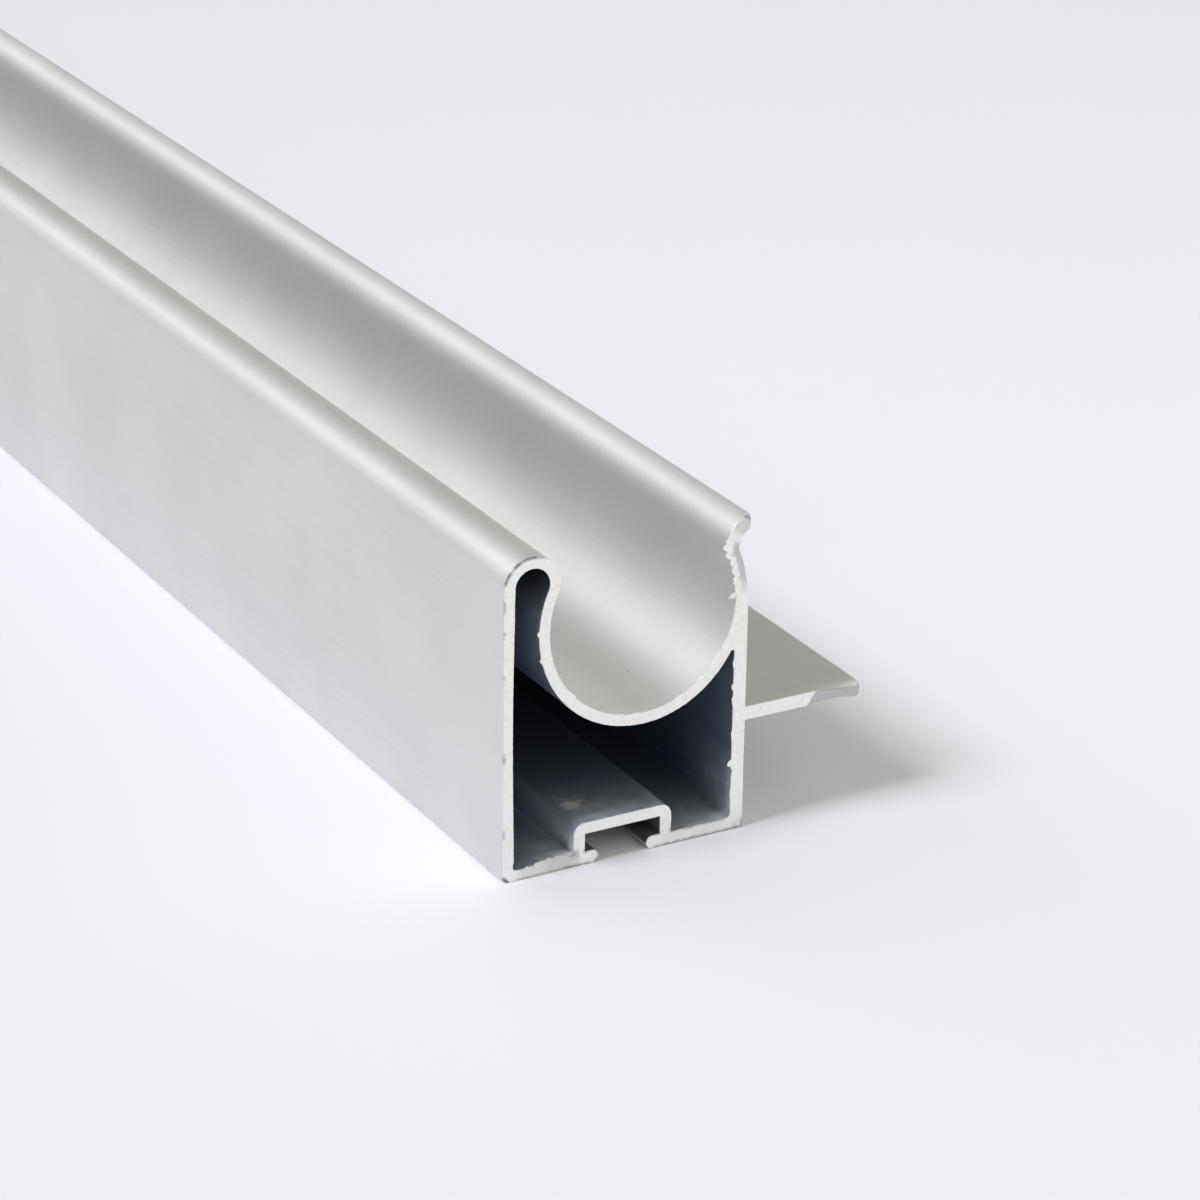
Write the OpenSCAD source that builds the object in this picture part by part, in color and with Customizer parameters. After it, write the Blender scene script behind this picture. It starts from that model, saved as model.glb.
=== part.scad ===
// Handle profile for the long edge of a board door, extruded in aluminium as one hollow bar.
// The section lies in X and Z and runs along Y. The bar rests on its base, in the middle of the floor.

/* [Bar] */
// Length of the bar
bar_l = 1000; // [200:10:3000]
// Height from the base to the top of the bead
bar_h = 30; // [28:0.5:40]

/* [Walls] */
// Thickness of the left wall, of the bead and of the trough
skin_t = 1.05; // [0.8:0.05:1.5]
// Thickness of the right wall and of the lip above it
seat_t = 1.3; // [0.8:0.05:1.7]
// Thickness of the base
base_t = 1.25; // [1:0.05:1.8]
// Radius of the outer edges along the base and along the flange
edge_r = 0.3; // [0.1:0.05:0.45]
// Radius of the chamber's inner corners along the base
inner_r = 0.3; // [0.1:0.05:0.6]
// Width at which the narrow corner between trough and right wall is filled
crotch_w = 0.3; // [0.1:0.05:0.8]

/* [Trough] */
// Inner radius of the round trough that takes the fingers
trough_r = 9.15; // [8.4:0.05:10.5]
// Outer radius of the hollow bead on the trough's left edge, and of the lip on its right edge
bead_r = 2.7; // [2.2:0.1:3.2]
// Angle by which bead and lip stand above the trough's centre
rise_deg = 23.7; // [18:0.1:32]

/* [Flange] */
// Depth of the board seat, from the bead's top down to the flange
seat_h = 18.25; // [15.5:0.25:22]
// Width of the flange beyond the right wall
flange_w = 12; // [6:0.5:20]
// Thickness of the flange
flange_t = 1.3; // [1:0.05:1.8]

/* [Seal slot] */
// Distance of the slot's middle from the left wall
slot_x = 11.8; // [10:0.1:14]
// Inner width of the slot
slot_w = 7.5; // [6.6:0.1:9]
// Inner height of the slot
slot_h = 1.7; // [1.2:0.1:2.4]
// Width of the slot's mouth in the base
mouth_w = 4.8; // [4:0.1:5.2]
// Thickness of the slot's two side walls
slot_t = 1.15; // [0.9:0.05:1.5]
// Thickness of the slot's roof
roof_t = 1.1; // [0.9:0.05:1.5]
// Radius of the roof's outer corners
roof_r = 1.1; // [0.4:0.1:1.8]

/* [Hidden] */
$fn = 96;
// Neighbouring arcs run into each other by this much, so that the wall between them has no break
run_in = 0.002;
// The free wall on the trough's right side reaches this angle past its end, inside the lip
lap_deg = 0.1;
// Positions are held to this step
step = 0.001;
function held(v) = round(v / step) * step;

centre_d = bead_r + trough_r - run_in;
bead_x = bead_r;
bead_z = bar_h - bead_r;
trough_x = held(bead_x + centre_d * cos(rise_deg));
trough_z = held(bead_z - centre_d * sin(rise_deg));
lip_x = 2 * trough_x - bead_x;
box_w = trough_x + trough_r + seat_t;
wall_x = box_w - seat_t;
flange_z = bar_h - seat_h;
flange_x = box_w + flange_w;
slot_z = base_t + slot_h;
housing_w = slot_w + 2 * slot_t;
housing_z = slot_z + roof_t;
tip_r = base_t / 2;
tip_x = mouth_w / 2 + tip_r;
under_r = trough_r + skin_t;
crotch_x = wall_x - crotch_w;
crotch_z = held(trough_z - sqrt(under_r * under_r - pow(crotch_x - trough_x, 2)));

// A disc of radius r about x, z
module disc(x, z, r) {
    translate([x, z]) circle(r);
}

// A rectangle from corner x0, z0 to corner x1, z1
module block(x0, z0, x1, z1) {
    translate([x0, z0]) square([x1 - x0, z1 - z0]);
}

// The box under the trough's centre with the round of the bead, set in from the outer faces
module filled_box(left_t, right_t, floor_t, corner_r) {
    x1 = box_w - right_t;
    polygon([
        [left_t + corner_r, floor_t],
        [x1 - corner_r, floor_t],
        [x1, floor_t + corner_r],
        [x1, trough_z],
        [trough_x, trough_z],
        [bead_x, bead_z],
        [left_t, bead_z],
        [left_t, floor_t + corner_r]
    ]);
    for (x = [left_t + corner_r, x1 - corner_r])
        disc(x, floor_t + corner_r, corner_r);
    disc(bead_x, bead_z, bead_r - left_t);
}

// The free wall on the trough's right side and the lip that turns outwards from it
module lip_wall() {
    above = bar_h + bead_r;
    line_z = trough_z + (box_w - trough_x) * tan(rise_deg);
    reach_x = lip_x + bead_r;
    reach_z = trough_z + (reach_x - trough_x) * tan(rise_deg + lap_deg);
    difference() {
        union() {
            intersection() {
                disc(trough_x, trough_z, trough_r + seat_t);
                polygon([[trough_x, trough_z], [reach_x, trough_z], [reach_x, reach_z]]);
            }
            intersection() {
                disc(lip_x, bead_z, bead_r);
                polygon([[trough_x, trough_z], [box_w, line_z], [box_w, above], [trough_x, above]]);
            }
        }
        disc(trough_x, trough_z, trough_r);
        disc(lip_x, bead_z, bead_r - seat_t);
    }
}

// The flange that the board lies on, with a rounded tip
module flange() {
    low_z = flange_z - flange_t;
    block(wall_x + seat_t / 2, low_z, flange_x - edge_r, flange_z);
    block(flange_x - 2 * edge_r, low_z + edge_r, flange_x, flange_z - edge_r);
    for (z = [low_z + edge_r, flange_z - edge_r])
        disc(flange_x - edge_r, z, edge_r);
}

// The walls and roof around the seal slot, as they stand in the chamber
module slot_housing() {
    x0 = slot_x - housing_w / 2;
    x1 = slot_x + housing_w / 2;
    block(x0, 0, x1, housing_z - roof_r);
    block(x0 + roof_r, 0, x1 - roof_r, housing_z);
    for (x = [x0 + roof_r, x1 - roof_r])
        disc(x, housing_z - roof_r, roof_r);
}

// The slot that holds a brush seal, open downwards between two rounded lips
module seal_slot() {
    block(slot_x - slot_w / 2, base_t, slot_x + slot_w / 2, slot_z);
    difference() {
        block(slot_x - tip_x, -tip_r, slot_x + tip_x, slot_z);
        for (side = [-1, 1])
            disc(slot_x + side * tip_x, tip_r, tip_r);
    }
}

// The closed hollow inside the walls, which reaches up into the bead
module chamber() {
    difference() {
        filled_box(skin_t, seat_t, base_t, inner_r);
        disc(trough_x, trough_z, under_r);
        block(trough_x, crotch_z, box_w, trough_z + trough_r);
        slot_housing();
    }
}

module section() {
    difference() {
        union() {
            difference() {
                filled_box(0, 0, 0, edge_r);
                disc(trough_x, trough_z, trough_r);
            }
            lip_wall();
            flange();
        }
        chamber();
        seal_slot();
    }
}

module profile() {
    color("#d2d3d1")
        translate([-flange_x / 2, bar_l / 2, 0])
            rotate([90, 0, 0])
                linear_extrude(bar_l)
                    section();
}

profile();
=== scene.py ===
"""Handle profile in satin anodised aluminium, sawn to length and lying on a pale studio floor."""
import math

import bmesh
import bpy
from mathutils import Matrix, Vector, geometry, kdtree, noise


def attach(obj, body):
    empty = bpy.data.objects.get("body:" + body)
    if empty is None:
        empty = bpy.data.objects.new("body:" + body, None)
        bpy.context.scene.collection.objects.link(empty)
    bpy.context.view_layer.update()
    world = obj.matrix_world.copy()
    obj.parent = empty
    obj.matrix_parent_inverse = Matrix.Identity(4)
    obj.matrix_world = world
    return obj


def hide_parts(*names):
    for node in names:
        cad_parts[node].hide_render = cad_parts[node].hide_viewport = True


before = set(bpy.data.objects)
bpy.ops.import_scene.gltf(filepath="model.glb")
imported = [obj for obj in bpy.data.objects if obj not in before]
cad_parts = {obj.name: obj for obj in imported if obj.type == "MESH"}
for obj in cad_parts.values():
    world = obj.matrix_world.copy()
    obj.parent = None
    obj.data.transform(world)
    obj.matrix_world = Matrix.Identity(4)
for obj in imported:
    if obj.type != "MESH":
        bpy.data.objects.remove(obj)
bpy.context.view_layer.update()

# All sizes below are in millimetres, and one function turns them to metres
MM = 0.001

# Section of the bar, X from the left wall and Z from the base
BAR_L = 1000
BAR_H = 30
SKIN_T = 1.05
SEAT_T = 1.3
BASE_T = 1.25
EDGE_R = 0.3
INNER_R = 0.3
CROTCH_W = 0.3
TROUGH_R = 9.15
BEAD_R = 2.7
RISE_DEG = 23.7
SEAT_H = 18.25
FLANGE_W = 12
FLANGE_T = 1.3
SLOT_X = 11.8
SLOT_W = 7.5
SLOT_H = 1.7
MOUTH_W = 4.8
SLOT_T = 1.15
ROOF_T = 1.1
ROOF_R = 1.1

# Neighbouring rounds run into each other by 0.002
CENTRE_D = BEAD_R + TROUGH_R - 0.002
BEAD_Z = BAR_H - BEAD_R
TROUGH_X = BEAD_R + CENTRE_D * math.cos(math.radians(RISE_DEG))
TROUGH_Z = BEAD_Z - CENTRE_D * math.sin(math.radians(RISE_DEG))
LIP_X = 2 * TROUGH_X - BEAD_R
BOX_W = TROUGH_X + TROUGH_R + SEAT_T
WALL_X = BOX_W - SEAT_T
FLANGE_Z = BAR_H - SEAT_H
FLANGE_X = BOX_W + FLANGE_W
# The CAD draws its rounds in facets, and its bead ends this little below the full height
TOP_Z = 29.997
SLOT_Z = BASE_T + SLOT_H
HOUSING_W = SLOT_W + 2 * SLOT_T
HOUSING_Z = SLOT_Z + ROOF_T
TIP_R = BASE_T / 2
TIP_X = MOUTH_W / 2 + TIP_R
UNDER_R = TROUGH_R + SKIN_T
CROTCH_X = WALL_X - CROTCH_W
CROTCH_Z = TROUGH_Z - math.sqrt(UNDER_R ** 2 - (CROTCH_X - TROUGH_X) ** 2)

# How finely the section is drawn, the fewest steps of a round, the gaps below which two points are one along
# the section and on a sawn face, the slack in telling which face a point is on, and the angle from which an
# edge is sharp
ROUND_STEP = 0.16
LINE_STEP = 0.2
ROUND_LEAST = 5
SAME_POINT = 0.001
SAME_SPOT = 1e-6
SLACK = 0.01
SHARP_DEG = 32

# Order of the finishes on the bar
SATIN = 0
SAWN = 1
MILL = 2
DRAWN = 3

# The left wall's inner face bows outwards by this much at half height, a little flatter at its ends
WALL_BOW = 0.16
BOW_POWER = 1.4

# Distances at which the section is drawn: from the front cut, from the back cut, and along the middle
FRONT_DEPTHS = [0.0, 0.05, 0.11, 0.2, 0.34, 0.55, 0.85, 1.3, 2.0, 4.0, 8.0]
BACK_DEPTHS = [0.0, 0.05, 0.11, 0.2, 0.34, 0.6, 1.3, 4.0]
MIDDLE_DEPTHS = [30, 120, 310, 500, 690, 880, 970]
# The sawn faces have rims of points along their edges, this far in, where they are clear of other edges
RIMS = [0.12, 0.27, 0.45]
RIM_CLEAR = 0.9

# The sawn edge is broken by this much all round, with a little raggedness of this size, this far along the
# bar and this steeply
EDGE_BREAK = 0.02
EDGE_RAG = 0.03
RAG_SIZE = 0.3
BREAK_DEPTH = 0.2
BREAK_POWER = 2.2
# A burr is a body with teeth of this size and soon thins out along the bar, while a rolled edge is only a
# little uneven
BURR_BODY = 0.75
BURR_TEETH = 0.7
TOOTH_SIZE = 0.14
BURR_POWER = 1.6
ROLL_RAG = 0.25
# Marks and spots are full over the middle of their width, the more so the higher these are
MARK_FILL = 1.8
SPOT_FILL = 2
# Each end has its own place in the raggedness
FRONT_SEED = 3.0
BACK_SEED = 41.0
TOOTH_SEED = 5.0

# Marks of the saw on the edges of the front end: X, Z, half width, how far the metal stands out
# (or is rolled in, where negative) and how far along the bar that dies out
FRONT_MARKS = [
    (21.55, 27.9, 0.35, 0.45, 0.3),
    (21.8, 27.3, 0.4, 0.62, 0.35),
    (21.9, 26.5, 0.4, 0.34, 0.3),
    (22.2, 25.6, 0.35, 0.3, 0.3),
    (22.38, 24.9, 0.4, 0.36, 0.3),
    (22.6, 24.0, 0.4, 0.28, 0.3),
    (22.68, 23.3, 0.3, 0.2, 0.3),
    (22.69, 22.62, 0.32, 0.95, 0.3),
    (20.0, 16.0, 0.7, 0.1, 0.2),
    (18.6, 14.9, 0.6, 0.12, 0.25),
    (17.2, 14.1, 0.6, 0.18, 0.3),
    (13.0, 13.4, 0.5, 0.2, 0.3),
    (11.4, 13.6, 0.4, 0.14, 0.3),
    (6.6, 16.5, 0.7, 0.12, 0.3),
    (3.35, 22.75, 0.3, 0.26, 0.3),
    (3.6, 20.3, 0.3, 0.2, 0.3),
    (22.7, 16.2, 0.5, 0.14, 0.3),
    (22.7, 13.9, 0.35, 0.26, 0.3),
    (22.7, 12.6, 0.5, 0.16, 0.3),
    (22.7, 9.2, 0.6, 0.1, 0.3),
    (22.7, 6.5, 0.4, 0.42, 0.5),
    (22.7, 5.7, 0.22, -0.2, 0.25),
    (22.7, 3.6, 0.5, 0.08, 0.3),
    (1.6, 1.05, 0.95, -0.26, 0.8),
    (2.9, 1.05, 0.95, -0.16, 0.8),
    (2.3, 1.25, 0.3, 0.16, 0.4),
    (3.3, 1.25, 0.26, 0.4, 0.5),
    (3.7, 1.25, 0.3, 0.2, 0.4),
    (4.3, 1.25, 0.4, 0.34, 0.5),
    (4.9, 1.25, 0.4, 0.22, 0.4),
    (5.4, 1.25, 0.4, 0.3, 0.4),
    (6.1, 1.25, 0.5, 0.36, 0.5),
    (19.5, 1.25, 0.7, 0.1, 0.3),
    (3.0, 0.0, 1.8, -0.07, 0.4),
    (6.2, 0.0, 2.2, -0.08, 0.4),
    (16.8, 0.0, 1.8, -0.07, 0.4),
    (19.8, 0.0, 2.2, -0.08, 0.4),
    (22.4, 0.0, 1.2, -0.06, 0.4),
    (23.6, 25.8, 2.0, -0.19, 0.3),
    (24.0, 23.4, 1.6, -0.14, 0.3),
    (23.9, 29.9, 0.45, -0.1, 0.3),
    (0.0, 0.0, 0.5, -0.16, 0.3),
]
BACK_MARKS = [
    (22.3, 26.0, 0.8, 0.3, 0.3),
    (21.2, 17.5, 0.7, 0.22, 0.3),
    (9.6, 14.3, 0.6, 0.24, 0.3),
    (4.5, 21.0, 0.5, 0.18, 0.3),
    (1.05, 12.0, 0.9, 0.2, 0.4),
    (1.05, 6.5, 0.6, 0.24, 0.4),
    (19.5, 1.25, 1.0, 0.3, 0.5),
    (15.0, 4.05, 0.6, 0.2, 0.3),
    (24.0, 15.0, 1.4, -0.22, 0.3),
    (0.0, 9.0, 1.6, -0.18, 0.3),
    (36.0, 10.6, 0.5, -0.3, 0.5),
]

# Painted shade and grime along the front cut: a painted shadow of the burrs along the outer edges and under
# the chip, and a painted contact shadow along the base's lower edge, with some real grime; the size of its
# patches, how well it covers, how broken it is, and how much of it is gone where the broken edge ends
SHADE_GRIME_PATCH = 0.5
SHADE_GRIME_COVER = 0.75
SHADE_GRIME_BREAKS = 1.3
SHADE_GRIME_FADE = 0.7
SHADE_GRIME_SEED = 17.0
# Where it sits: X, Z, half width and strength
FRONT_SHADE_AND_GRIME = [
    (0.0, 25.9, 0.7, 0.5),
    (0.3, 28.5, 0.9, 0.9),
    (1.2, 29.6, 1.0, 1.0),
    (2.5, 30.0, 0.9, 0.9),
    (3.5, 29.9, 0.6, 0.5),
    (0.0, 23.3, 0.4, 0.6),
    (0.0, 19.4, 0.3, 0.4),
    (0.0, 11.9, 0.6, 0.6),
    (0.0, 4.6, 0.5, 0.4),
    (0.1, 0.1, 0.7, 1.0),
    (23.9, 29.9, 0.6, 1.0),
    (22.69, 22.25, 0.3, 0.9),
    (2.2, 0.0, 2.0, 0.25),
    (4.6, 0.0, 2.0, 0.25),
    (7.4, 0.0, 2.0, 0.7),
    (8.6, 0.0, 1.3, 0.7),
    (16.2, 0.0, 2.0, 0.6),
    (18.8, 0.0, 2.2, 0.55),
    (21.4, 0.0, 2.0, 0.55),
    (23.4, 0.0, 1.4, 0.8),
]
# Places on the front cut where the sawn metal is drawn greyer, listed in the same way
FRONT_GREY_SPOTS = [
    (23.3, 29.2, 1.5, 0.6),
    (3.0, 0.5, 2.2, 0.4),
    (5.4, 0.7, 2.2, 0.7),
    (7.1, 0.8, 1.1, 0.9),
    (17.0, 0.4, 2.2, 0.15),
    (20.5, 0.4, 2.6, 0.2),
    (23.3, 0.6, 0.9, 0.6),
]
# A grey strip runs down the free wall's outer edge and fades out, made of spots just outside that edge: how
# far outside, their half width, their most strength and what each degree round the trough adds to it
STRIP_OUT = 0.36
STRIP_W = 0.72
STRIP_MOST = 0.9
STRIP_GAIN = 0.08
STRIP_R = TROUGH_R + SEAT_T + STRIP_OUT
for degrees in range(1, 26, 2):
    strip_x = TROUGH_X + STRIP_R * math.cos(math.radians(degrees))
    strip_z = TROUGH_Z + STRIP_R * math.sin(math.radians(degrees))
    FRONT_GREY_SPOTS.append((strip_x, strip_z, STRIP_W, min(STRIP_MOST, STRIP_GAIN * degrees)))

# The saw left the flange's front corner rolled over from this X outwards: steeply at the cut and gently
# behind it, each with its run along the bar, and set the cut back, by a smaller share at the top
TEAR_X = 31.2
TEAR_DROP = 0.48
TEAR_RUN = 0.42
DIP_DROP = 0.12
DIP_RUN = 1.6
TEAR_BACK = 0.3
TEAR_BACK_TOP = 0.3
# The torn edge slants by this much over the flange's thickness and is this wide; points this far outside the
# corner still belong to it
TEAR_SLANT = 0.75
TEAR_EDGE = 0.35
TEAR_MARGIN = 1
FLANGE_MARGIN = 0.1
# Near the tip the drop eases off and the underside sags: how far from the tip, over which length, how much
TIP_FROM = 0.7
TIP_OVER = 0.6
TIP_EASE = 0.6
SAG_FROM = 2.2
SAG_OVER = 2
TIP_SAG = 0.28

# Inside the chamber: the heights at which the lighter wall above the neck and the painted shade in the bead's
# hollow begin and are full
NECK = (17, 20)
SHADED_BEAD = (24.5, 27.5)
# How far in from the front cut the saw dust and the painted light from the open end reach, the heights
# between which they thin out, and the stretch of X over which their share goes up and down
DUST_AND_LIGHT_REACH = 12
DUST_AND_LIGHT_HEIGHT = (4.2, 8)
DUST_AND_LIGHT_ACROSS = (-17, 5)
DUST_AND_LIGHT_SHARE = {0.0: 0.15, 0.2: 1.0, 0.4: 1.0, 0.62: 0.6, 1.0: 1.0}
# Blots in the chamber: centre, half sizes, raggedness and blur
SIDE_DUST_AND_LIGHT = ((-11.1, -499, 2.4), (0.9, 12.0, 2.2), 0.4, 0.7)
SMUDGE = ((-9.3, -496.4, 4.0), (1.45, 1.1, 4.0), 1.5, 0.3)
CRUMBS = ((-11.9, -500.1, 1.3), (2.6, 1.4, 1.6), 1.5, 0.55)

# The middle of the saw blade as it left the front cut
BLADE_AT = (-120, -500, -125)

# Camera: place, pitch and yaw and roll in degrees, the lens and its sensor, and how near and far it sees
CAMERA_PLACE = (-165.305, -777.162, 161.543)
CAMERA_PITCH = 23.24
CAMERA_YAW = 29.45
CAMERA_ROLL = -0.85
CAMERA_LENS = 122.4
SENSOR_W = 36
NEAR_CLIP = 10
FAR_CLIP = 200000

# Light: levels of the room by the angle in degrees over the bar, from the left horizon over the top to the
# right one, beyond the bar's far end, beside the bar and in front of it
BEYOND = {0: 0.50, 12: 0.32, 24: 0.55, 36: 1.62, 48: 1.72, 60: 1.03, 75: 0.28, 90: 0.25, 105: 0.63, 125: 0.33,
          150: 0.25, 180: 0.66}
BESIDE = {0: 0.25, 25: 0.25, 50: 0.68, 75: 0.25, 105: 0.63, 135: 0.32, 160: 0.78, 180: 1.05}
BEFORE = {0: 0.25, 45: 0.45, 90: 1.40, 135: 1.46, 180: 1.20}
# Share of a direction that lies along the bar, where the part beside it ends and the other two are full
BESIDE_TO = 0.25
ENDS_FROM = 0.7
# The room's red, green and blue, a little warm
ROOM_TINT = (0.99, 1.0, 0.925)
# The softbox on the left, with its height and width in degrees
SOFTBOX_ENERGY = 2.25
SOFTBOX_HEIGHT = 51
SOFTBOX_WIDTH = 16

# The floor's side and its gap to the bar; a painted pool of light makes it palest about a place, to this far,
# and greyest from that far
FLOOR_SIDE = 60000
FLOOR_GAP = 0.01
LIGHT_POOL_AT = (40, -520, 0)
LIGHT_POOL_TO = 60
LIGHT_POOL_FADE_FROM = 450


def metres(*lengths):
    """Millimetres to metres, as a vector"""
    return Vector([length * MM for length in lengths])


def linear(code):
    """An sRGB hex colour as linear red, green, blue and alpha"""
    parts = [int(code[i:i + 2], 16) / 255 for i in (1, 3, 5)]
    return [c / 12.92 if c <= 0.04045 else ((c + 0.055) / 1.055) ** 2.4 for c in parts] + [1.0]


def add(tree, kind, inputs=None, **settings):
    """A node with its settings, and with each input either linked or set"""
    node = tree.nodes.new(kind)
    for name, value in settings.items():
        setattr(node, name, value)
    for key, value in (inputs or {}).items():
        if isinstance(value, bpy.types.NodeSocket):
            tree.links.new(value, node.inputs[key])
        else:
            node.inputs[key].default_value = value
    return node


def smooth(value):
    """0 below 0, 1 above 1 and a soft step between"""
    t = min(1.0, max(0.0, value))
    return t * t * (3 - 2 * t)


# Section


def arc(x, z, r, start, end):
    """Points of a round about x, z from one angle to another, in degrees"""
    turn = math.radians(end - start)
    count = max(ROUND_LEAST, math.ceil(abs(turn) * r / ROUND_STEP))
    angles = [math.radians(start) + turn * i / count for i in range(count + 1)]
    return [(x + r * math.cos(a), z + r * math.sin(a)) for a in angles]


def closed(points):
    """A closed run of points, with its long straight stretches divided evenly"""
    run = []
    for i, p in enumerate(points):
        q = points[(i + 1) % len(points)]
        gap = math.dist(p, q)
        if gap < SAME_POINT:
            continue
        count = max(1, math.ceil(gap / LINE_STEP))
        for k in range(count):
            run.append((p[0] + (q[0] - p[0]) * k / count, p[1] + (q[1] - p[1]) * k / count))
    return run


def outer_run():
    """The outside of the section, round by the base, the right wall, the flange, the trough and the bead"""
    low_z = FLANGE_Z - FLANGE_T
    lip_in = math.degrees(math.acos((BOX_W - LIP_X) / (BEAD_R - SEAT_T)))
    lip_out = math.degrees(math.acos((BOX_W - LIP_X) / BEAD_R))
    points = arc(EDGE_R, EDGE_R, EDGE_R, 180, 270)
    points += arc(SLOT_X - TIP_X, TIP_R, TIP_R, -90, 90)
    points += [(SLOT_X - SLOT_W / 2, BASE_T), (SLOT_X - SLOT_W / 2, SLOT_Z)]
    points += [(SLOT_X + SLOT_W / 2, SLOT_Z), (SLOT_X + SLOT_W / 2, BASE_T)]
    points += arc(SLOT_X + TIP_X, TIP_R, TIP_R, 90, 270)
    points += arc(BOX_W - EDGE_R, EDGE_R, EDGE_R, 270, 360)
    points += [(BOX_W, low_z)]
    points += arc(FLANGE_X - EDGE_R, low_z + EDGE_R, EDGE_R, 270, 360)
    points += arc(FLANGE_X - EDGE_R, FLANGE_Z - EDGE_R, EDGE_R, 0, 90)
    points += [(BOX_W, FLANGE_Z)]
    points += arc(TROUGH_X, TROUGH_Z, TROUGH_R + SEAT_T, 0, RISE_DEG)
    points += arc(LIP_X, BEAD_Z, BEAD_R - SEAT_T, 180 + RISE_DEG, lip_in)
    points += arc(LIP_X, BEAD_Z, BEAD_R, lip_out, 180 + RISE_DEG)
    points += arc(TROUGH_X, TROUGH_Z, TROUGH_R, RISE_DEG, -180 - RISE_DEG)
    points += arc(BEAD_R, BEAD_Z, BEAD_R, -RISE_DEG, 180)
    return closed(points)


def chamber_run():
    """The chamber's outline, taken the other way round so that its normals also point out of the metal"""
    x0 = SLOT_X - HOUSING_W / 2
    x1 = SLOT_X + HOUSING_W / 2
    crotch = math.degrees(math.atan2(CROTCH_Z - TROUGH_Z, CROTCH_X - TROUGH_X))
    points = arc(SKIN_T + INNER_R, BASE_T + INNER_R, INNER_R, 180, 270)
    points += [(x0, BASE_T)]
    points += arc(x0 + ROOF_R, HOUSING_Z - ROOF_R, ROOF_R, 180, 90)
    points += arc(x1 - ROOF_R, HOUSING_Z - ROOF_R, ROOF_R, 90, 0)
    points += [(x1, BASE_T)]
    points += arc(WALL_X - INNER_R, BASE_T + INNER_R, INNER_R, 270, 360)
    points += [(WALL_X, CROTCH_Z)]
    points += arc(TROUGH_X, TROUGH_Z, UNDER_R, crotch, -180 - RISE_DEG)
    points += arc(BEAD_R, BEAD_Z, BEAD_R - SKIN_T, -RISE_DEG, 180)
    bowed = []
    for x, z in closed(points):
        if x < SKIN_T + SLACK and BASE_T + INNER_R < z < BEAD_Z:
            along = (z - BASE_T) / (BEAD_Z - BASE_T)
            x -= WALL_BOW * math.sin(math.pi * along) ** BOW_POWER
        bowed.append((x, z))
    return bowed[::-1]


def outward(points):
    """The direction out of the metal at each point of a run"""
    normals = []
    for i, p in enumerate(points):
        before = points[i - 1]
        after = points[(i + 1) % len(points)]
        dx = after[0] - before[0]
        dz = after[1] - before[1]
        size = math.hypot(dx, dz)
        normals.append((dz / size, -dx / size))
    return normals


# Sawn ends


def edge_shift(x, z, depth, marks, seed):
    """How far the metal stands out or is rolled in near a sawn edge"""
    rag = noise.noise(Vector((x / RAG_SIZE, z / RAG_SIZE, seed)))
    teeth = noise.noise(Vector((x / TOOTH_SIZE, z / TOOTH_SIZE, seed + TOOTH_SEED)))
    shift = 0.0
    edge = 1 - depth / BREAK_DEPTH
    if edge > 0:
        shift -= (EDGE_BREAK + EDGE_RAG * rag) * edge ** BREAK_POWER
    for mark_x, mark_z, width, reach, run in marks:
        near = 1 - math.hypot(x - mark_x, z - mark_z) / width
        if near <= 0 or depth >= run:
            continue
        fade = 1 - depth / run
        ragged = 1.0 + ROLL_RAG * rag
        if reach > 0:
            fade = fade ** BURR_POWER
            ragged = BURR_BODY + BURR_TEETH * teeth
        shift += reach * smooth(near * MARK_FILL) * ragged * fade
    return shift


def flange_tear(x, z, depth):
    """Drop and set-back of the flange's front corner, where the saw rolled it over, and how torn it is, which
    also greys its torn face as painted shade
    """
    out = min(1.0, max(0.0, (x - TEAR_X) / (FLANGE_X - TEAR_X)))
    low = min(1.0, max(0.0, (FLANGE_Z - z) / FLANGE_T))
    torn = smooth((x - TEAR_X + TEAR_SLANT * low) / TEAR_EDGE)
    steep = math.exp(-(depth / TEAR_RUN) ** 2)
    gentle = math.exp(-(depth / DIP_RUN) ** 2)
    tip = smooth((x - FLANGE_X + TIP_FROM) / TIP_OVER)
    sag = TIP_SAG * smooth((x - FLANGE_X + SAG_FROM) / SAG_OVER) * steep
    drop = (TEAR_DROP * steep + DIP_DROP * gentle) * out * (1 - low) * (1 - TIP_EASE * tip) + sag * low
    back = TEAR_BACK * torn * (TEAR_BACK_TOP + (1 - TEAR_BACK_TOP) * low) * steep
    return drop, back, torn


def spots_at(spots, x, z):
    """The strongest of a list of round spots at a point of the section"""
    most = 0.0
    for spot_x, spot_z, width, strength in spots:
        near = 1 - math.hypot(x - spot_x, z - spot_z) / width
        most = max(most, strength * smooth(near * SPOT_FILL))
    return most


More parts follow.
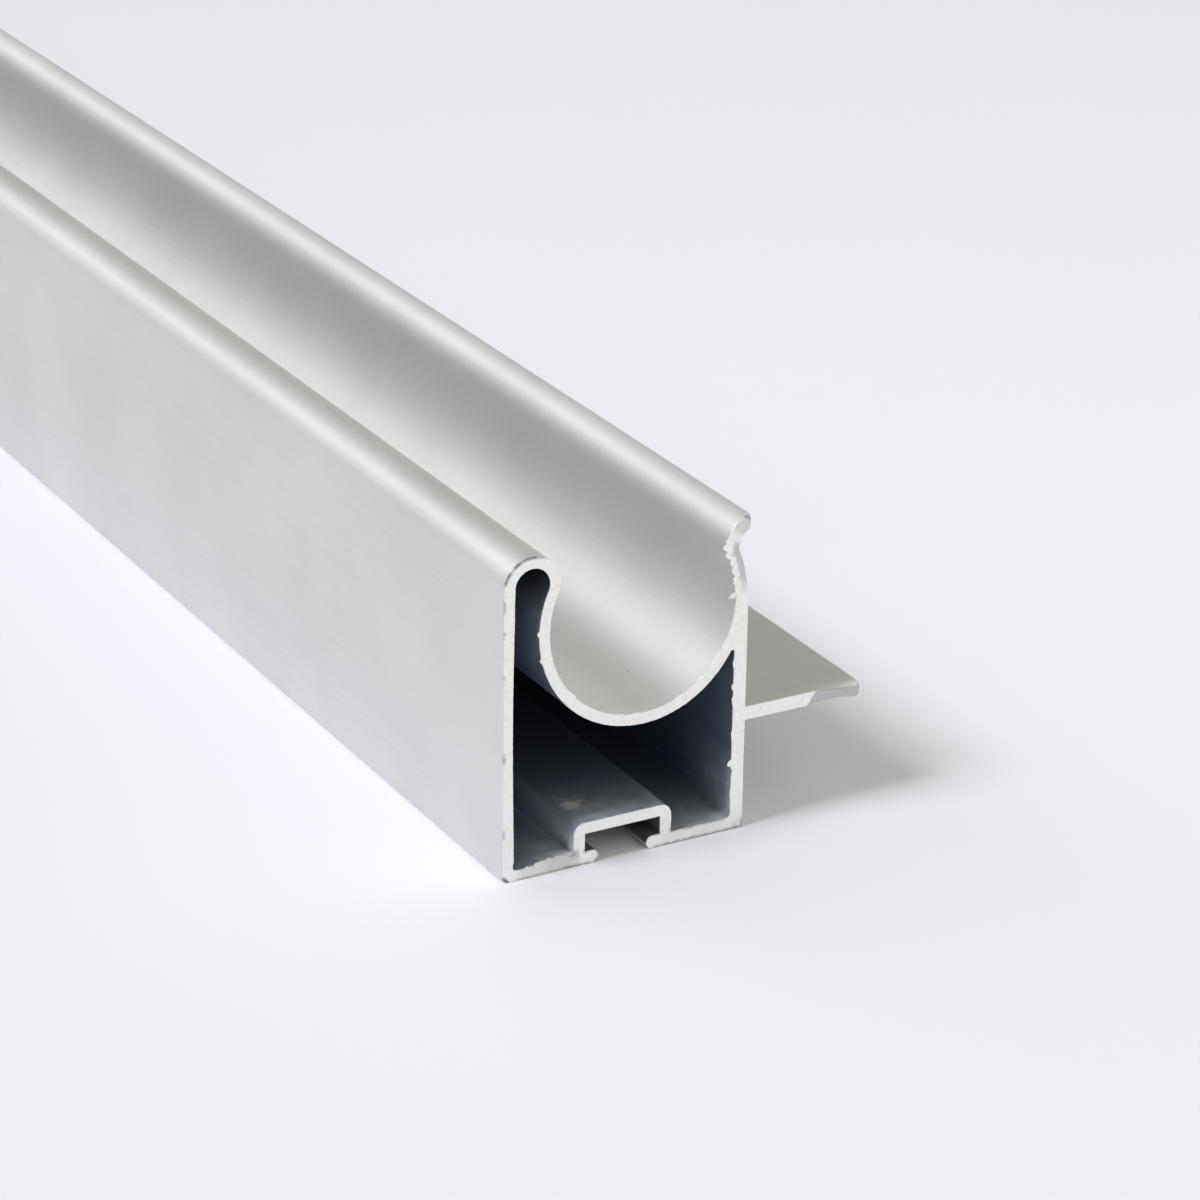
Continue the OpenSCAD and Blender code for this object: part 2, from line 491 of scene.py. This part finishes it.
def ring(bm, points, normals, depth, front, inset=0.0):
    """The section at one distance from the front cut or the back cut, as new vertices"""
    shade_and_grime = bm.verts.layers.float["shade_and_grime"]
    grey_and_shade = bm.verts.layers.float["grey_and_shade"]
    marks = FRONT_MARKS if front else BACK_MARKS
    flange_low = FLANGE_Z - FLANGE_T - FLANGE_MARGIN
    flange_high = FLANGE_Z + FLANGE_MARGIN
    seed = FRONT_SEED if front else BACK_SEED
    side = -1 if front else 1
    row = []
    for (x, z), (nx, nz) in zip(points, normals):
        shift = edge_shift(x, z, depth, marks, seed) - inset
        px = x + nx * shift
        pz = z + nz * shift
        y = BAR_L / 2 - depth
        torn = 0.0
        shade_and_dirt = 0.0
        if front and depth <= BREAK_DEPTH:
            torn = spots_at(FRONT_GREY_SPOTS, x, z)
            # Painted shadow of the burrs and a painted contact shadow along the base, mixed with some real
            # grime
            patch = noise.noise(Vector((x / SHADE_GRIME_PATCH, z / SHADE_GRIME_PATCH, SHADE_GRIME_SEED)))
            broken = smooth(SHADE_GRIME_COVER + SHADE_GRIME_BREAKS * patch)
            fade = 1 - SHADE_GRIME_FADE * depth / BREAK_DEPTH - inset / RIMS[1]
            shade_and_dirt = spots_at(FRONT_SHADE_AND_GRIME, x, z) * broken * max(0.0, fade)
        # At the flange's torn corner the grey is painted shade on the face that looks down and forward
        if front and x > TEAR_X - TEAR_MARGIN and flange_low < z < flange_high:
            drop, back, torn = flange_tear(px, pz, depth)
            pz -= drop
            y -= back
        px = min(max(px, 0.0), FLANGE_X)
        pz = min(max(pz, 0.0), TOP_Z)
        vert = bm.verts.new(metres(px - FLANGE_X / 2, side * y, pz))
        vert[grey_and_shade] = torn
        vert[shade_and_grime] = shade_and_dirt
        row.append(vert)
    return row


def bridge(bm, first, second, finishes):
    """Faces between two rows of vertices all the way round"""
    for i in range(len(first)):
        j = (i + 1) % len(first)
        face = bm.faces.new((first[i], second[i], second[j], first[j]))
        face.material_index = finishes[i]
        face.smooth = True


def inside(point, run):
    """True for a point that a closed run goes round"""
    odd = False
    for i, a in enumerate(run):
        b = run[i - 1]
        if (a.y > point.y) != (b.y > point.y):
            if point.x < a.x + (b.x - a.x) * (point.y - a.y) / (b.y - a.y):
                odd = not odd
    return odd


def cap(bm, rows, rims):
    """Triangles over a sawn end, from the edge of the outside to the edge of the chamber"""
    verts = [vert for row in rows for vert in row]
    edge = kdtree.KDTree(len(verts))
    for i, vert in enumerate(verts):
        edge.insert((vert.co.x, 0.0, vert.co.z), i)
    edge.balance()
    lines = []
    for row in rows:
        start = verts.index(row[0])
        lines += [(start + i, start + (i + 1) % len(row)) for i in range(len(row))]
    chamber = [Vector((vert.co.x, vert.co.z)) / MM for vert in rows[1]]
    for inset, rim in rims:
        for vert in rim:
            gap = edge.find((vert.co.x, 0.0, vert.co.z))[2]
            if gap < RIM_CLEAR * inset * MM:
                bm.verts.remove(vert)
            else:
                verts.append(vert)
    flat = [Vector((vert.co.x, vert.co.z)) / MM for vert in verts]
    points, _, corners, origins, _, _ = geometry.delaunay_2d_cdt(flat, lines, [], 1, SAME_SPOT)
    for three in corners:
        middle = (points[three[0]] + points[three[1]] + points[three[2]]) / 3
        if not inside(middle, chamber):
            face = bm.faces.new([verts[origins[i][0]] for i in three])
            face.material_index = SAWN
            face.smooth = True


def in_slot(x, z):
    """True for the inside of the seal slot"""
    return abs(x - SLOT_X) < SLOT_W / 2 + SLACK and TIP_R < z < SLOT_Z + SLACK


def make_bar(finishes):
    """The whole bar as one closed mesh: outside, chamber and two sawn faces"""
    bm = bmesh.new()
    bm.verts.layers.float.new("shade_and_grime")
    bm.verts.layers.float.new("grey_and_shade")
    depths = [(d, True) for d in FRONT_DEPTHS + MIDDLE_DEPTHS]
    depths += [(d, False) for d in reversed(BACK_DEPTHS)]
    ends = {True: [], False: []}
    for points, hollow in ((outer_run(), False), (chamber_run(), True)):
        normals = outward(points)
        drawn = [MILL if hollow else DRAWN if in_slot(x, z) else SATIN for x, z in points]
        sawn = [SAWN] * len(points)
        rows = [ring(bm, points, normals, d, front) for d, front in depths]
        for k in range(len(rows) - 1):
            bridge(bm, rows[k], rows[k + 1], sawn if k in (0, len(rows) - 2) else drawn)
        for front, row in ((True, rows[0]), (False, rows[-1])):
            rims = [(inset, ring(bm, points, normals, 0.0, front, inset)) for inset in RIMS]
            ends[front].append((row, rims))
    for runs in ends.values():
        cap(bm, [row for row, rims in runs], [rim for row, rims in runs for rim in rims])
    bmesh.ops.recalc_face_normals(bm, faces=bm.faces)
    mesh = bpy.data.meshes.new("handle_profile_bar")
    bm.to_mesh(mesh)
    bm.free()
    mesh.set_sharp_from_angle(angle=math.radians(SHARP_DEG))
    for finish in finishes:
        mesh.materials.append(finish)
    bar = bpy.data.objects.new("handle_profile_bar", mesh)
    bpy.context.scene.collection.objects.link(bar)
    return bar


# Finishes


def new_finish(name):
    """An empty node material and its tree"""
    material = bpy.data.materials.new(name)
    material.use_nodes = True
    material.node_tree.nodes.clear()
    return material, material.node_tree


def per(length):
    """How many of a length in millimetres go into a metre, the scale of a pattern of that size"""
    return 1 / (length * MM)


def satin_anodised_aluminium():
    """Aluminium etched in caustic and anodised clear: pale grey metal with a soft silky sheen, faint
    die lines along the bar and a fine even grain"""
    material, tree = new_finish("satin_anodised_aluminium")
    place = add(tree, "ShaderNodeTexCoord").outputs["Object"]

    # Die lines 0.4 mm apart that run on for decimetres
    lines_at = add(tree, "ShaderNodeMapping", {"Vector": place, "Scale": (1.0, 0.004, 1.0)})
    lines = add(tree, "ShaderNodeTexNoise", {"Vector": lines_at.outputs["Vector"], "Scale": per(0.4),
                                            "Detail": 3.0, "Roughness": 0.6})
    # Etch grain is about 0.05 mm, drawn at 0.22 mm so that it shows
    grain = add(tree, "ShaderNodeTexNoise", {"Vector": place, "Scale": per(0.22), "Detail": 2.0})
    cloud = add(tree, "ShaderNodeTexNoise", {"Vector": place, "Scale": per(14), "Detail": 2.0})
    # Small faint pits, one or two to a square centimetre
    pits = add(tree, "ShaderNodeTexVoronoi", {"Vector": place, "Scale": per(7)})
    pit = add(tree, "ShaderNodeMapRange", {"Value": pits.outputs["Distance"], "From Min": 0.012,
                                           "From Max": 0.024, "To Min": 1.0, "To Max": 0.0})

    shade = add(tree, "ShaderNodeMath", {0: lines.outputs["Fac"], 1: 0.55, 2: cloud.outputs["Fac"]},
                operation="MULTIPLY_ADD")
    tone = add(tree, "ShaderNodeValToRGB", {"Fac": shade.outputs["Value"]})
    tone.color_ramp.elements[0].position = 0.35
    tone.color_ramp.elements[0].color = linear("#dadad8")
    tone.color_ramp.elements[1].position = 1.0
    tone.color_ramp.elements[1].color = linear("#e3e3e1")
    pitted = add(tree, "ShaderNodeMix", {"Factor": pit.outputs["Result"], "A": tone.outputs["Color"],
                                         "B": linear("#cfd0cd")}, data_type="RGBA")
    # Painted shade of the burrs and a painted contact shadow, with some real grime, darken the metal by the
    # cut
    shade_and_grime = add(tree, "ShaderNodeAttribute", attribute_name="shade_and_grime")
    shaded_and_grimed = add(tree, "ShaderNodeMix", {"Factor": shade_and_grime.outputs["Fac"], "A": pitted.outputs["Result"],
                                         "B": linear("#4a4b4a")}, data_type="RGBA")

    gloss = add(tree, "ShaderNodeMapRange", {"Value": grain.outputs["Fac"], "To Min": 0.55, "To Max": 0.65})
    lined = add(tree, "ShaderNodeBump", {"Height": lines.outputs["Fac"], "Strength": 0.12,
                                         "Distance": 0.004 * MM})
    grained = add(tree, "ShaderNodeBump", {"Height": grain.outputs["Fac"], "Strength": 0.18,
                                           "Distance": 0.006 * MM, "Normal": lined.outputs["Normal"]})
    metal = add(tree, "ShaderNodeBsdfPrincipled", {"Base Color": shaded_and_grimed.outputs["Result"], "Metallic": 1.0,
                                                   "Roughness": gloss.outputs["Result"],
                                                   "Normal": grained.outputs["Normal"]})
    add(tree, "ShaderNodeOutputMaterial", {"Surface": metal.outputs["BSDF"]})
    return material


def sawn_aluminium():
    """Bare aluminium fresh from the saw: near white, rough enough to look matt, with fine curved tooth
    marks"""
    material, tree = new_finish("sawn_aluminium")
    place = add(tree, "ShaderNodeTexCoord").outputs["Object"]

    # The blade, 350 mm across, came in from the lower left; its teeth left marks 0.35 mm apart
    blade = add(tree, "ShaderNodeVectorMath", {0: place, 1: metres(*BLADE_AT)}, operation="DISTANCE")
    swept = add(tree, "ShaderNodeTexNoise", {"W": blade.outputs["Value"], "Scale": per(0.35), "Detail": 2.0},
                noise_dimensions="1D")
    crumb = add(tree, "ShaderNodeTexNoise", {"Vector": place, "Scale": per(0.35), "Detail": 3.0})
    height = add(tree, "ShaderNodeMath", {0: crumb.outputs["Fac"], 1: 0.8, 2: swept.outputs["Fac"]},
                 operation="MULTIPLY_ADD")
    tone = add(tree, "ShaderNodeValToRGB", {"Fac": crumb.outputs["Fac"]})
    tone.color_ramp.elements[0].position = 0.3
    tone.color_ramp.elements[0].color = linear("#efefeb")
    tone.color_ramp.elements[1].position = 0.7
    tone.color_ramp.elements[1].color = linear("#f8f8f5")
    # Greyer spots, and painted shade on the flange's torn corner; painted shade and grime darken the outer
    # edge
    grey_and_shade = add(tree, "ShaderNodeAttribute", attribute_name="grey_and_shade")
    greyed_and_shaded = add(tree, "ShaderNodeMix", {"Factor": grey_and_shade.outputs["Fac"], "A": tone.outputs["Color"],
                                          "B": linear("#c4c4c3")}, data_type="RGBA")
    shade_and_grime = add(tree, "ShaderNodeAttribute", attribute_name="shade_and_grime")
    shaded_and_grimed = add(tree, "ShaderNodeMix", {"Factor": shade_and_grime.outputs["Fac"], "A": greyed_and_shaded.outputs["Result"],
                                         "B": linear("#5a5b5a")}, data_type="RGBA")
    gloss = add(tree, "ShaderNodeMapRange", {"Value": swept.outputs["Fac"], "To Min": 0.48, "To Max": 0.62})
    marked = add(tree, "ShaderNodeBump", {"Height": height.outputs["Value"], "Strength": 0.3,
                                          "Distance": 0.02 * MM})
    metal = add(tree, "ShaderNodeBsdfPrincipled", {"Base Color": shaded_and_grimed.outputs["Result"], "Metallic": 1.0,
                                                   "Roughness": gloss.outputs["Result"],
                                                   "Normal": marked.outputs["Normal"]})
    add(tree, "ShaderNodeOutputMaterial", {"Surface": metal.outputs["BSDF"]})
    return material


def drawn_aluminium():
    """Aluminium as it left the die, inside the seal slot: dull grey metal in streaks along the bar"""
    material, tree = new_finish("drawn_aluminium")
    place = add(tree, "ShaderNodeTexCoord").outputs["Object"]
    streaks_at = add(tree, "ShaderNodeMapping", {"Vector": place, "Scale": (1.0, 0.01, 1.0)})
    streaks = add(tree, "ShaderNodeTexNoise", {"Vector": streaks_at.outputs["Vector"], "Scale": per(0.9),
                                              "Detail": 3.0, "Roughness": 0.6})
    tone = add(tree, "ShaderNodeValToRGB", {"Fac": streaks.outputs["Fac"]})
    tone.color_ramp.elements[0].position = 0.3
    tone.color_ramp.elements[0].color = linear("#7a7f84")
    tone.color_ramp.elements[1].position = 0.7
    tone.color_ramp.elements[1].color = linear("#8d9297")
    gloss = add(tree, "ShaderNodeMapRange", {"Value": streaks.outputs["Fac"], "To Min": 0.4, "To Max": 0.55})
    ridged = add(tree, "ShaderNodeBump", {"Height": streaks.outputs["Fac"], "Strength": 0.2,
                                          "Distance": 0.01 * MM})
    metal = add(tree, "ShaderNodeBsdfPrincipled", {"Base Color": tone.outputs["Color"], "Metallic": 0.75,
                                                   "Roughness": gloss.outputs["Result"],
                                                   "Normal": ridged.outputs["Normal"]})
    add(tree, "ShaderNodeOutputMaterial", {"Surface": metal.outputs["BSDF"]})
    return material


def blot(tree, place, centre, half, rag, blur):
    """How strong a round blot is, by its centre and half sizes in millimetres, raggedness and blur"""
    ragged = add(tree, "ShaderNodeTexNoise", {"Vector": place, "Scale": per(0.6), "Detail": 3.0})
    over = add(tree, "ShaderNodeMapping", {"Vector": place, "Scale": [per(size) for size in half],
                                           "Location": [-c / size for c, size in zip(centre, half)]})
    away = add(tree, "ShaderNodeVectorMath", {0: over.outputs["Vector"]}, operation="LENGTH")
    torn = add(tree, "ShaderNodeMath", {0: ragged.outputs["Fac"], 1: rag, 2: away.outputs["Value"]},
               operation="MULTIPLY_ADD")
    # The noise is a half on average, so the blot ends three quarters of the way out
    edge = 0.75 + rag / 2
    return add(tree, "ShaderNodeMapRange", {"Value": torn.outputs["Value"], "From Min": edge - blur,
                                            "From Max": edge + blur, "To Min": 0.9,
                                            "To Max": 0.0}).outputs["Result"]


def mill_aluminium():
    """Aluminium as it left the die, inside the chamber where no polish reaches: dark bluish metal drawn in
    streaks, darker where it faces up, with painted shade in the bead's hollow, and paler near the front cut
    with saw dust and painted light from the open end"""
    material, tree = new_finish("mill_aluminium")
    place = add(tree, "ShaderNodeTexCoord").outputs["Object"]
    at = add(tree, "ShaderNodeSeparateXYZ", {"Vector": place})
    facing = add(tree, "ShaderNodeSeparateXYZ",
                 {"Vector": add(tree, "ShaderNodeNewGeometry").outputs["Normal"]})

    streaks_at = add(tree, "ShaderNodeMapping", {"Vector": place, "Scale": (1.0, 0.01, 1.0)})
    streaks = add(tree, "ShaderNodeTexNoise", {"Vector": streaks_at.outputs["Vector"], "Scale": per(0.9),
                                              "Detail": 3.0, "Roughness": 0.6})
    tone = add(tree, "ShaderNodeValToRGB", {"Fac": streaks.outputs["Fac"]})
    tone.color_ramp.elements[0].position = 0.3
    tone.color_ramp.elements[0].color = linear("#788398")
    tone.color_ramp.elements[1].position = 0.7
    tone.color_ramp.elements[1].color = linear("#8b96ac")
    # Lighter from the neck below the bead upwards, darker on the faces that look up, and painted shade in the
    # bead's hollow
    neck = add(tree, "ShaderNodeMapRange", {"Value": at.outputs["Z"], "From Min": NECK[0] * MM,
                                            "From Max": NECK[1] * MM})
    lighter_above_neck = add(tree, "ShaderNodeMix", {"Factor": neck.outputs["Result"], "A": tone.outputs["Color"],
                                        "B": linear("#a9b1be")}, data_type="RGBA")
    up = add(tree, "ShaderNodeMapRange", {"Value": facing.outputs["Z"], "From Min": 0.3, "From Max": 0.9})
    darker_facing_up = add(tree, "ShaderNodeMix", {"Factor": up.outputs["Result"], "A": lighter_above_neck.outputs["Result"],
                                        "B": linear("#7c8598")}, data_type="RGBA")
    hollow = add(tree, "ShaderNodeMapRange", {"Value": at.outputs["Z"], "From Min": SHADED_BEAD[0] * MM,
                                              "From Max": SHADED_BEAD[1] * MM})
    shaded_hollow = add(tree, "ShaderNodeMix", {"Factor": hollow.outputs["Result"], "A": darker_facing_up.outputs["Result"],
                                         "B": linear("#30363f")}, data_type="RGBA")

    # Saw dust with painted light from the open end lies in patches of about 1.5 mm, most of it low and round
    # the slot's left side, where a blot of dust and painted light covers the housing's side
    cut = -BAR_L / 2
    inward = add(tree, "ShaderNodeMapRange", {"Value": at.outputs["Y"], "From Min": cut * MM,
                                              "From Max": (cut + DUST_AND_LIGHT_REACH) * MM, "To Min": 1.0,
                                              "To Max": 0.0})
    near = add(tree, "ShaderNodeMath", {0: inward.outputs["Result"], 1: 2.0}, operation="POWER")
    higher = add(tree, "ShaderNodeMapRange", {"Value": at.outputs["Z"], "From Min": DUST_AND_LIGHT_HEIGHT[0] * MM,
                                              "From Max": DUST_AND_LIGHT_HEIGHT[1] * MM, "To Min": 1.0,
                                              "To Max": 0.2})
    across = add(tree, "ShaderNodeMapRange", {"Value": at.outputs["X"], "From Min": DUST_AND_LIGHT_ACROSS[0] * MM,
                                              "From Max": DUST_AND_LIGHT_ACROSS[1] * MM})
    share = add(tree, "ShaderNodeValToRGB", {"Fac": across.outputs["Result"]})
    for position in list(DUST_AND_LIGHT_SHARE)[1:-1]:
        share.color_ramp.elements.new(position)
    for stop, level in zip(share.color_ramp.elements, DUST_AND_LIGHT_SHARE.values()):
        stop.color = (level, level, level, 1.0)
    patch = add(tree, "ShaderNodeTexNoise", {"Vector": place, "Scale": per(1.5), "Detail": 3.0})
    spread = add(tree, "ShaderNodeMapRange", {"Value": patch.outputs["Fac"], "From Min": 0.3, "From Max": 0.7,
                                              "To Min": 0.55, "To Max": 1.0})
    low = add(tree, "ShaderNodeMath", {0: near.outputs["Value"], 1: higher.outputs["Result"]},
              operation="MULTIPLY")
    lying = add(tree, "ShaderNodeMath", {0: low.outputs["Value"], 1: share.outputs["Color"]},
                operation="MULTIPLY")
    strewn = add(tree, "ShaderNodeMath", {0: lying.outputs["Value"], 1: spread.outputs["Result"]},
                 operation="MULTIPLY")
    side = blot(tree, place, *SIDE_DUST_AND_LIGHT)
    dust_and_light = add(tree, "ShaderNodeMath", {0: strewn.outputs["Value"], 1: side}, operation="MAXIMUM")
    dusty_and_lit = add(tree, "ShaderNodeMix", {"Factor": dust_and_light.outputs["Value"], "A": shaded_hollow.outputs["Result"],
                                        "B": linear("#c8cdd0")}, data_type="RGBA")

    # A pale smudge, about 3 by 2 mm, on the slot's roof, and crumbs from the saw along the base's front edge
    smudge = blot(tree, place, *SMUDGE)
    stained = add(tree, "ShaderNodeMix", {"Factor": smudge, "A": dusty_and_lit.outputs["Result"],
                                          "B": linear("#bdb5b3")}, data_type="RGBA")
    crumbs = blot(tree, place, *CRUMBS)
    littered = add(tree, "ShaderNodeMix", {"Factor": crumbs, "A": stained.outputs["Result"],
                                           "B": linear("#f0f2f2")}, data_type="RGBA")

    lain = add(tree, "ShaderNodeMath", {0: dust_and_light.outputs["Value"], 1: smudge}, operation="MAXIMUM")
    covered = add(tree, "ShaderNodeMath", {0: lain.outputs["Value"], 1: crumbs}, operation="MAXIMUM")
    bare = add(tree, "ShaderNodeMapRange", {"Value": covered.outputs["Value"], "To Min": 0.75, "To Max": 0.0})
    gloss = add(tree, "ShaderNodeMapRange", {"Value": streaks.outputs["Fac"], "To Min": 0.4, "To Max": 0.55})
    ridged = add(tree, "ShaderNodeBump", {"Height": streaks.outputs["Fac"], "Strength": 0.2,
                                          "Distance": 0.01 * MM})
    metal = add(tree, "ShaderNodeBsdfPrincipled", {"Base Color": littered.outputs["Result"],
                                                   "Metallic": bare.outputs["Result"],
                                                   "Roughness": gloss.outputs["Result"],
                                                   "Normal": ridged.outputs["Normal"]})
    add(tree, "ShaderNodeOutputMaterial", {"Surface": metal.outputs["BSDF"]})
    return material


def coated_board():
    """White coated board for the floor: matt, with a faint cool cast"""
    material, tree = new_finish("coated_board")
    place = add(tree, "ShaderNodeTexCoord").outputs["Object"]
    cloud = add(tree, "ShaderNodeTexNoise", {"Vector": place, "Scale": per(90), "Detail": 2.0})
    tone = add(tree, "ShaderNodeValToRGB", {"Fac": cloud.outputs["Fac"]})
    tone.color_ramp.elements[0].color = linear("#e1e1e4")
    tone.color_ramp.elements[1].color = linear("#e4e4e7")
    # A painted pool of light: the floor is a little greyer away from the bar's front end
    away = add(tree, "ShaderNodeVectorMath", {0: place, 1: metres(*LIGHT_POOL_AT)}, operation="DISTANCE")
    outer = add(tree, "ShaderNodeMapRange", {"Value": away.outputs["Value"], "From Min": LIGHT_POOL_TO * MM,
                                             "From Max": LIGHT_POOL_FADE_FROM * MM})
    pool_dimmed = add(tree, "ShaderNodeMix", {"Factor": outer.outputs["Result"], "A": tone.outputs["Color"],
                                         "B": linear("#d7d7d9")}, data_type="RGBA")
    board = add(tree, "ShaderNodeBsdfPrincipled", {"Base Color": pool_dimmed.outputs["Result"], "Roughness": 0.9,
                                                   "Specular IOR Level": 0.1})
    add(tree, "ShaderNodeOutputMaterial", {"Surface": board.outputs["BSDF"]})
    return material


# Stage


def make_floor(finish):
    """A wide level sheet just under the bar"""
    bm = bmesh.new()
    half = FLOOR_SIDE / 2
    corners = [(-half, -half), (half, -half), (half, half), (-half, half)]
    bm.faces.new([bm.verts.new(metres(x, y, -FLOOR_GAP)) for x, y in corners])
    mesh = bpy.data.meshes.new("floor_sheet")
    bm.to_mesh(mesh)
    bm.free()
    mesh.materials.append(finish)
    floor = bpy.data.objects.new("floor_sheet", mesh)
    bpy.context.scene.collection.objects.link(floor)


def make_camera():
    """The camera at the photograph's angle"""
    pitch = math.radians(CAMERA_PITCH)
    yaw = math.radians(CAMERA_YAW)
    roll = math.radians(CAMERA_ROLL)
    ahead = Vector((math.sin(yaw) * math.cos(pitch), math.cos(yaw) * math.cos(pitch), -math.sin(pitch)))
    right = Vector((math.cos(yaw), -math.sin(yaw), 0.0))
    down = ahead.cross(right)
    right_rolled = right * math.cos(roll) + down * math.sin(roll)
    down_rolled = down * math.cos(roll) - right * math.sin(roll)
    axes = Matrix((right_rolled, -down_rolled, -ahead)).transposed()
    lens = bpy.data.cameras.new("camera")
    lens.sensor_width = SENSOR_W
    lens.lens = CAMERA_LENS
    lens.clip_start = NEAR_CLIP * MM
    lens.clip_end = FAR_CLIP * MM
    camera = bpy.data.objects.new("camera", lens)
    camera.matrix_world = Matrix.Translation(metres(*CAMERA_PLACE)) @ axes.to_4x4()
    bpy.context.scene.collection.objects.link(camera)
    bpy.context.scene.camera = camera


def tinted(level):
    """A level of the room as a colour"""
    return [level * share for share in ROOM_TINT] + [1.0]


def arch(tree, turn, levels):
    """One arch of the room over the bar"""
    band = add(tree, "ShaderNodeValToRGB", {"Fac": turn})
    stops = band.color_ramp.elements
    for angle in list(levels)[1:-1]:
        stops.new(angle / 180)
    for stop, level in zip(stops, levels.values()):
        stop.color = tinted(level)
    return band.outputs["Color"]


def make_light():
    """A soft room with light and dim stretches, and a softbox high on the left"""
    world = bpy.data.worlds.new("studio")
    bpy.context.scene.world = world
    world.use_nodes = True
    tree = world.node_tree
    tree.nodes.clear()
    toward = add(tree, "ShaderNodeTexCoord").outputs["Generated"]
    axes = add(tree, "ShaderNodeSeparateXYZ", {"Vector": toward}).outputs
    leftward = add(tree, "ShaderNodeMath", {0: axes["X"], 1: -1.0}, operation="MULTIPLY")
    angle = add(tree, "ShaderNodeMath", {0: axes["Z"], 1: leftward.outputs["Value"]}, operation="ARCTAN2")
    turn = add(tree, "ShaderNodeMapRange", {"Value": angle.outputs["Value"], "From Min": 0.0,
                                            "From Max": math.pi}).outputs["Result"]
    beyond = add(tree, "ShaderNodeMapRange", {"Value": axes["Y"], "From Min": BESIDE_TO,
                                              "From Max": ENDS_FROM})
    before = add(tree, "ShaderNodeMapRange", {"Value": axes["Y"], "From Min": -BESIDE_TO,
                                              "From Max": -ENDS_FROM})
    sides = add(tree, "ShaderNodeMix", {"Factor": beyond.outputs["Result"], "A": arch(tree, turn, BESIDE),
                                        "B": arch(tree, turn, BEYOND)}, data_type="RGBA")
    room = add(tree, "ShaderNodeMix", {"Factor": before.outputs["Result"], "A": sides.outputs["Result"],
                                       "B": arch(tree, turn, BEFORE)}, data_type="RGBA")
    sky = add(tree, "ShaderNodeBackground", {"Color": room.outputs["Result"], "Strength": 1.0})
    add(tree, "ShaderNodeOutputWorld", {"Surface": sky.outputs["Background"]})

    key = bpy.data.lights.new("softbox", "SUN")
    key.energy = SOFTBOX_ENERGY
    key.color = linear("#f2efff")[:3]
    key.angle = math.radians(SOFTBOX_WIDTH)
    lamp = bpy.data.objects.new("softbox", key)
    lift = math.radians(SOFTBOX_HEIGHT)
    toward_box = Vector((-math.cos(lift), 0.0, math.sin(lift)))
    lamp.rotation_euler = toward_box.to_track_quat("Z", "Y").to_euler()
    bpy.context.scene.collection.objects.link(lamp)


bpy.context.scene.view_settings.view_transform = "Standard"
make_camera()
make_light()
make_floor(coated_board())
bar = make_bar([satin_anodised_aluminium(), sawn_aluminium(), mill_aluminium(), drawn_aluminium()])
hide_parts("profile")
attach(bar, "root")
